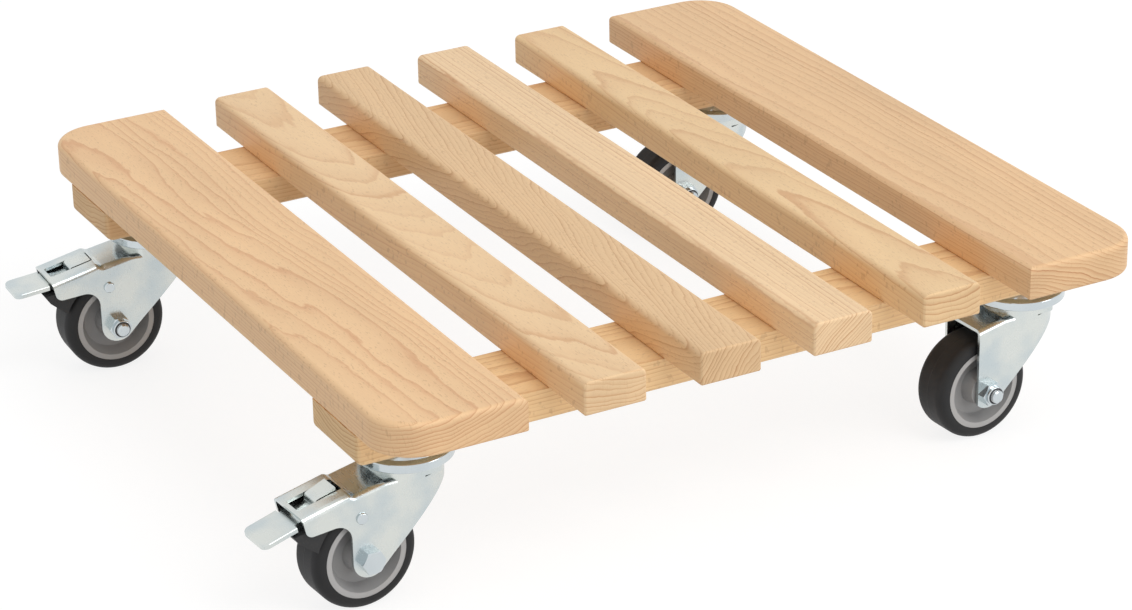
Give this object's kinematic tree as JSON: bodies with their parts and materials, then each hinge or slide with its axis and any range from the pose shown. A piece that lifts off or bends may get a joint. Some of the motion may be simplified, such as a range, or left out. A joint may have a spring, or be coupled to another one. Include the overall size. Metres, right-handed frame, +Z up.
{
  "type": "plant caddy",
  "caption": "Slatted wooden plant trolley on swivel casters, with foot brakes on one side, for moving a heavy pot",
  "frame": {"origin": "on the floor, under the middle of the whole outline, pedals included", "axes": "+X across the slats, from the braked casters to the free ones; +Y along the slats; +Z up"},
  "size_m": [0.422, 0.38, 0.1035],
  "materials": {
    "wood": "satin beech, clear oil",
    "zinc_steel": "bright zinc plate",
    "tyre": "matte thermoplastic rubber",
    "rim_plastic": "moulded polypropylene",
    "shoe_plastic": "moulded nylon",
    "ball_steel": "polished"
  },
  "bodies": {
    "deck": {"slat_wide_left": "wood", "slat_narrow_1": "wood", "slat_narrow_2": "wood", "slat_narrow_3": "wood", "slat_narrow_4": "wood", "slat_wide_right": "wood", "batten_front": "wood", "batten_rear": "wood", "slat_screws": "zinc_steel", "caster_bolts": "zinc_steel", "caster_nuts": "zinc_steel", "caster_washers": "zinc_steel", "front_left_swivel_cup": "zinc_steel", "front_left_kingpin": "zinc_steel", "front_left_swivel_balls": "ball_steel", "rear_left_swivel_cup": "zinc_steel", "rear_left_kingpin": "zinc_steel", "rear_left_swivel_balls": "ball_steel", "front_right_swivel_cup": "zinc_steel", "front_right_kingpin": "zinc_steel", "front_right_swivel_balls": "ball_steel", "rear_right_swivel_cup": "zinc_steel", "rear_right_kingpin": "zinc_steel", "rear_right_swivel_balls": "ball_steel"},
    "front_left_swivel": {"front_left_fork": "zinc_steel", "front_left_axle_bolt": "zinc_steel", "front_left_axle_nut": "zinc_steel", "front_left_axle_sleeve": "zinc_steel", "front_left_brake_rivets": "zinc_steel"},
    "front_left_wheel": {"front_left_rim": "rim_plastic", "front_left_tyre": "tyre"},
    "front_left_shoe": {"front_left_brake_shoe": "shoe_plastic", "front_left_pedal_pin": "zinc_steel"},
    "front_left_pedal": {"front_left_brake_pedal": "zinc_steel"},
    "rear_left_swivel": {"rear_left_fork": "zinc_steel", "rear_left_axle_bolt": "zinc_steel", "rear_left_axle_nut": "zinc_steel", "rear_left_axle_sleeve": "zinc_steel", "rear_left_brake_rivets": "zinc_steel"},
    "rear_left_wheel": {"rear_left_rim": "rim_plastic", "rear_left_tyre": "tyre"},
    "rear_left_shoe": {"rear_left_brake_shoe": "shoe_plastic", "rear_left_pedal_pin": "zinc_steel"},
    "rear_left_pedal": {"rear_left_brake_pedal": "zinc_steel"},
    "front_right_swivel": {"front_right_fork": "zinc_steel", "front_right_axle_bolt": "zinc_steel", "front_right_axle_nut": "zinc_steel", "front_right_axle_sleeve": "zinc_steel"},
    "front_right_wheel": {"front_right_rim": "rim_plastic", "front_right_tyre": "tyre"},
    "rear_right_swivel": {"rear_right_fork": "zinc_steel", "rear_right_axle_bolt": "zinc_steel", "rear_right_axle_nut": "zinc_steel", "rear_right_axle_sleeve": "zinc_steel"},
    "rear_right_wheel": {"rear_right_rim": "rim_plastic", "rear_right_tyre": "tyre"}
  },
  "joints": [
    {"name": "front_left_turn", "type": "hinge", "parent": "deck", "child": "front_left_swivel", "pos_m": [-0.137, -0.136, 0.07346], "axis": [0, 0, 1], "continuous": true},
    {"name": "front_left_roll", "type": "hinge", "parent": "front_left_swivel", "child": "front_left_wheel", "pos_m": [-0.16225, -0.13755, 0.025], "axis": [0.061, -0.9981, 0], "continuous": true},
    {"name": "front_left_brake_swing", "type": "hinge", "parent": "front_left_swivel", "child": "front_left_shoe", "pos_m": [-0.16544, -0.13774, 0.0457], "axis": [0.061, -0.9981, 0], "range_deg": [-3, 0]},
    {"name": "front_left_pedal_press", "type": "hinge", "parent": "front_left_shoe", "child": "front_left_pedal", "pos_m": [-0.18397, -0.13887, 0.04643], "axis": [0.061, -0.9981, 0], "range_deg": [-6.5, 0]},
    {"name": "rear_left_turn", "type": "hinge", "parent": "deck", "child": "rear_left_swivel", "pos_m": [-0.137, 0.136, 0.07346], "axis": [0, 0, 1], "continuous": true},
    {"name": "rear_left_roll", "type": "hinge", "parent": "rear_left_swivel", "child": "rear_left_wheel", "pos_m": [-0.16228, 0.13706, 0.025], "axis": [-0.0419, -0.9991, 0], "continuous": true},
    {"name": "rear_left_brake_swing", "type": "hinge", "parent": "rear_left_swivel", "child": "rear_left_shoe", "pos_m": [-0.16547, 0.13719, 0.0457], "axis": [-0.0419, -0.9991, 0], "range_deg": [0, 3]},
    {"name": "rear_left_pedal_press", "type": "hinge", "parent": "rear_left_shoe", "child": "rear_left_pedal", "pos_m": [-0.18396, 0.13797, 0.0474], "axis": [-0.0419, -0.9991, 0], "range_deg": [0, 6.5]},
    {"name": "front_right_turn", "type": "hinge", "parent": "deck", "child": "front_right_swivel", "pos_m": [0.179, -0.136, 0.07346], "axis": [0, 0, 1], "continuous": true},
    {"name": "front_right_roll", "type": "hinge", "parent": "front_right_swivel", "child": "front_right_wheel", "pos_m": [0.15374, -0.13732, 0.025], "axis": [0.0523, -0.9986, 0], "continuous": true},
    {"name": "rear_right_turn", "type": "hinge", "parent": "deck", "child": "rear_right_swivel", "pos_m": [0.179, 0.136, 0.07346], "axis": [0, 0, 1], "continuous": true},
    {"name": "rear_right_roll", "type": "hinge", "parent": "rear_right_swivel", "child": "rear_right_wheel", "pos_m": [0.1537, 0.136, 0.025], "axis": [0, -1, 0], "continuous": true}
  ],
  "couplings": [
    {"joint": "front_left_brake_swing", "follows": "front_left_pedal_press", "ratio": 0.46154},
    {"joint": "rear_left_brake_swing", "follows": "rear_left_pedal_press", "ratio": 0.46154}
  ]
}
